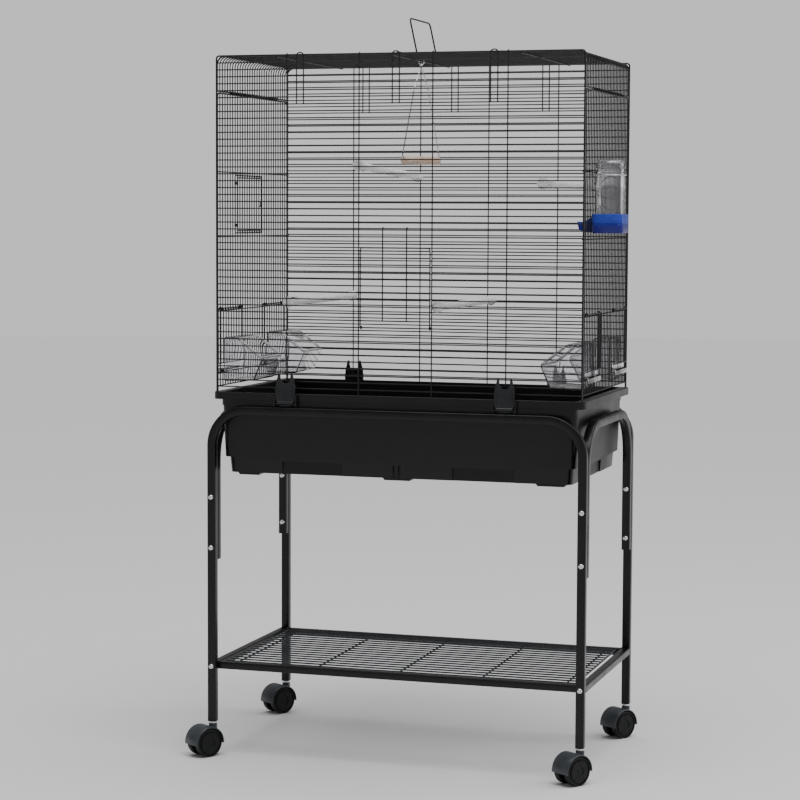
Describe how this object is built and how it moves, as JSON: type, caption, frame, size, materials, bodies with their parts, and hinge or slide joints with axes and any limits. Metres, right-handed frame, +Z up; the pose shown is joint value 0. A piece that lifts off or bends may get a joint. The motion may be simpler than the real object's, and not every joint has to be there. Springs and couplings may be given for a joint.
{
  "type": "bird cage on stand",
  "caption": "Rolling wire bird cage: deep base tub on a square-tube stand with shelf and casters, hinged doors, feeder cups, perches, swing and water bottle.",
  "frame": {"origin": "bottom centre of the whole object's box, on the floor", "axes": "+X to the right as seen from the front, -Y to the front, +Z up"},
  "size_m": [0.7624, 0.4482, 1.3027],
  "materials": {
    "black_wire": "satin powder coat",
    "black_tube": "satin powder coat",
    "tub_plastic": "matte moulded",
    "latch_plastic": "matte moulded",
    "caster_plastic": "satin moulded",
    "zinc": "bright zinc plate",
    "swing_wire": "plated wire",
    "clear_plastic": "clear styrene",
    "blue_plastic": "gloss moulded",
    "perch_plastic": "matte moulded",
    "wood": "sanded dowel"
  },
  "bodies": {
    "stand": {"bolt_middle_front_left": "zinc", "bolt_middle_front_right": "zinc", "bolt_middle_rear_left": "zinc", "bolt_middle_rear_right": "zinc", "bolt_shelf_front_left": "zinc", "bolt_shelf_front_right": "zinc", "bolt_shelf_rear_left": "zinc", "bolt_shelf_rear_right": "zinc", "bolt_upper_front_left": "zinc", "bolt_upper_front_right": "zinc", "bolt_upper_rear_left": "zinc", "bolt_upper_rear_right": "zinc", "caster_stem_front_left": "zinc", "caster_stem_front_right": "zinc", "caster_stem_rear_left": "zinc", "caster_stem_rear_right": "zinc", "front_hoop": "black_tube", "left_hoop": "black_tube", "rear_hoop": "black_tube", "right_hoop": "black_tube", "shelf": "black_tube"},
    "tub": {"base_tub": "tub_plastic"},
    "cage": {"front_panel": "black_wire", "back_panel": "black_wire", "left_panel": "black_wire", "right_panel": "black_wire", "top_panel": "black_wire", "bottle_base": "blue_plastic", "bottle_clip": "swing_wire", "perch_lower_left": "perch_plastic", "perch_lower_right": "perch_plastic", "perch_upper_left": "perch_plastic", "perch_upper_right": "perch_plastic"},
    "front_door": {"front_door": "black_wire"},
    "nest_door": {"nest_door": "black_wire"},
    "swing": {"swing_frame": "swing_wire", "swing_seat": "wood"},
    "handle": {"carry_handle": "black_wire"},
    "bottle": {"water_bottle": "clear_plastic"},
    "feeder_door_left_front": {"feeder_door_left_front": "black_wire"},
    "feeder_cup_left_front": {"feeder_cup_left_front": "clear_plastic"},
    "feeder_door_left_rear": {"feeder_door_left_rear": "black_wire"},
    "feeder_cup_left_rear": {"feeder_cup_left_rear": "clear_plastic"},
    "feeder_door_right_front": {"feeder_door_right_front": "black_wire"},
    "feeder_cup_right_front": {"feeder_cup_right_front": "clear_plastic"},
    "feeder_door_right_rear": {"feeder_door_right_rear": "black_wire"},
    "feeder_cup_right_rear": {"feeder_cup_right_rear": "clear_plastic"},
    "latch_front_left": {"base_latch_front_left": "latch_plastic"},
    "caster_hood_front_left": {"caster_hood_front_left": "caster_plastic"},
    "caster_wheels_front_left": {"caster_wheels_front_left": "caster_plastic"},
    "latch_front_right": {"base_latch_front_right": "latch_plastic"},
    "caster_hood_front_right": {"caster_hood_front_right": "caster_plastic"},
    "caster_wheels_front_right": {"caster_wheels_front_right": "caster_plastic"},
    "latch_rear_left": {"base_latch_rear_left": "latch_plastic"},
    "caster_hood_rear_left": {"caster_hood_rear_left": "caster_plastic"},
    "caster_wheels_rear_left": {"caster_wheels_rear_left": "caster_plastic"},
    "latch_rear_right": {"base_latch_rear_right": "latch_plastic"},
    "caster_hood_rear_right": {"caster_hood_rear_right": "caster_plastic"},
    "caster_wheels_rear_right": {"caster_wheels_rear_right": "caster_plastic"}
  },
  "joints": [
    {"name": "tub_lift", "type": "slide", "parent": "stand", "child": "tub", "axis": [0, 0, 1], "range_m": [0, 0.12]},
    {"name": "cage_lift", "type": "slide", "parent": "tub", "child": "cage", "axis": [0, 0, 1], "range_m": [0, 0.15]},
    {"name": "front_door_hinge", "type": "hinge", "parent": "cage", "child": "front_door", "pos_m": [-0.00416, -0.16468, 0.7644], "axis": [1, 0, 0], "range_deg": [0, 135]},
    {"name": "nest_door_hinge", "type": "hinge", "parent": "cage", "child": "nest_door", "pos_m": [-0.33576, -0.06901, 0.976], "axis": [0, 0, 1], "range_deg": [0, 150]},
    {"name": "feeder_door_hinge_left_front", "type": "hinge", "parent": "cage", "child": "feeder_door_left_front", "pos_m": [-0.33576, -0.0945, 0.7919], "axis": [0, 1, 0], "range_deg": [0, 100]},
    {"name": "feeder_cup_lift_left_front", "type": "slide", "parent": "cage", "child": "feeder_cup_left_front", "axis": [0, 0, 1], "range_m": [0, 0.007]},
    {"name": "feeder_door_hinge_left_rear", "type": "hinge", "parent": "cage", "child": "feeder_door_left_rear", "pos_m": [-0.33576, 0.12435, 0.7919], "axis": [0, 1, 0], "range_deg": [0, 100]},
    {"name": "feeder_cup_lift_left_rear", "type": "slide", "parent": "cage", "child": "feeder_cup_left_rear", "axis": [0, 0, 1], "range_m": [0, 0.007]},
    {"name": "feeder_door_hinge_right_front", "type": "hinge", "parent": "cage", "child": "feeder_door_right_front", "pos_m": [0.32744, -0.0945, 0.7919], "axis": [0, -1, 0], "range_deg": [0, 100]},
    {"name": "feeder_cup_lift_right_front", "type": "slide", "parent": "cage", "child": "feeder_cup_right_front", "axis": [0, 0, 1], "range_m": [0, 0.007]},
    {"name": "feeder_door_hinge_right_rear", "type": "hinge", "parent": "cage", "child": "feeder_door_right_rear", "pos_m": [0.32744, 0.12435, 0.7919], "axis": [0, -1, 0], "range_deg": [0, 100]},
    {"name": "feeder_cup_lift_right_rear", "type": "slide", "parent": "cage", "child": "feeder_cup_right_rear", "axis": [0, 0, 1], "range_m": [0, 0.007]},
    {"name": "swing_hinge", "type": "hinge", "parent": "cage", "child": "swing", "pos_m": [-0.01416, 0.01492, 1.2299], "axis": [0, 1, 0], "range_deg": [-25, 25]},
    {"name": "handle_hinge", "type": "hinge", "parent": "cage", "child": "handle", "pos_m": [-0.00266, 0.01492, 1.2349], "axis": [0, 1, 0], "range_deg": [-70, 97]},
    {"name": "bottle_lift", "type": "slide", "parent": "cage", "child": "bottle", "axis": [0, 0, 1], "range_m": [0, 0.03]},
    {"name": "latch_hinge_front_left", "type": "hinge", "parent": "tub", "child": "latch_front_left", "pos_m": [-0.2012, -0.17408, 0.629], "axis": [1, 0, 0], "range_deg": [0, 80]},
    {"name": "caster_swivel_front_left", "type": "hinge", "parent": "stand", "child": "caster_hood_front_left", "pos_m": [-0.33816, -0.17368, 0.04], "axis": [0, 0, 1], "continuous": true},
    {"name": "wheel_roll_front_left", "type": "hinge", "parent": "caster_hood_front_left", "child": "caster_wheels_front_left", "pos_m": [-0.34823, -0.1886, 0.025], "axis": [0.829, -0.5592, 0], "continuous": true},
    {"name": "latch_hinge_front_right", "type": "hinge", "parent": "tub", "child": "latch_front_right", "pos_m": [0.19288, -0.17408, 0.629], "axis": [1, 0, 0], "range_deg": [0, 80]},
    {"name": "caster_swivel_front_right", "type": "hinge", "parent": "stand", "child": "caster_hood_front_right", "pos_m": [0.32984, -0.17368, 0.04], "axis": [0, 0, 1], "continuous": true},
    {"name": "wheel_roll_front_right", "type": "hinge", "parent": "caster_hood_front_right", "child": "caster_wheels_front_right", "pos_m": [0.31977, -0.1886, 0.025], "axis": [0.829, -0.5592, 0], "continuous": true},
    {"name": "latch_hinge_rear_left", "type": "hinge", "parent": "tub", "child": "latch_rear_left", "pos_m": [-0.2012, 0.20392, 0.629], "axis": [-1, 0, 0], "range_deg": [0, 80]},
    {"name": "caster_swivel_rear_left", "type": "hinge", "parent": "stand", "child": "caster_hood_rear_left", "pos_m": [-0.33816, 0.20352, 0.04], "axis": [0, 0, 1], "continuous": true},
    {"name": "wheel_roll_rear_left", "type": "hinge", "parent": "caster_hood_rear_left", "child": "caster_wheels_rear_left", "pos_m": [-0.34823, 0.1886, 0.025], "axis": [0.829, -0.5592, 0], "continuous": true},
    {"name": "latch_hinge_rear_right", "type": "hinge", "parent": "tub", "child": "latch_rear_right", "pos_m": [0.19288, 0.20392, 0.629], "axis": [-1, 0, 0], "range_deg": [0, 80]},
    {"name": "caster_swivel_rear_right", "type": "hinge", "parent": "stand", "child": "caster_hood_rear_right", "pos_m": [0.32984, 0.20352, 0.04], "axis": [0, 0, 1], "continuous": true},
    {"name": "wheel_roll_rear_right", "type": "hinge", "parent": "caster_hood_rear_right", "child": "caster_wheels_rear_right", "pos_m": [0.31977, 0.1886, 0.025], "axis": [0.829, -0.5592, 0], "continuous": true}
  ]
}
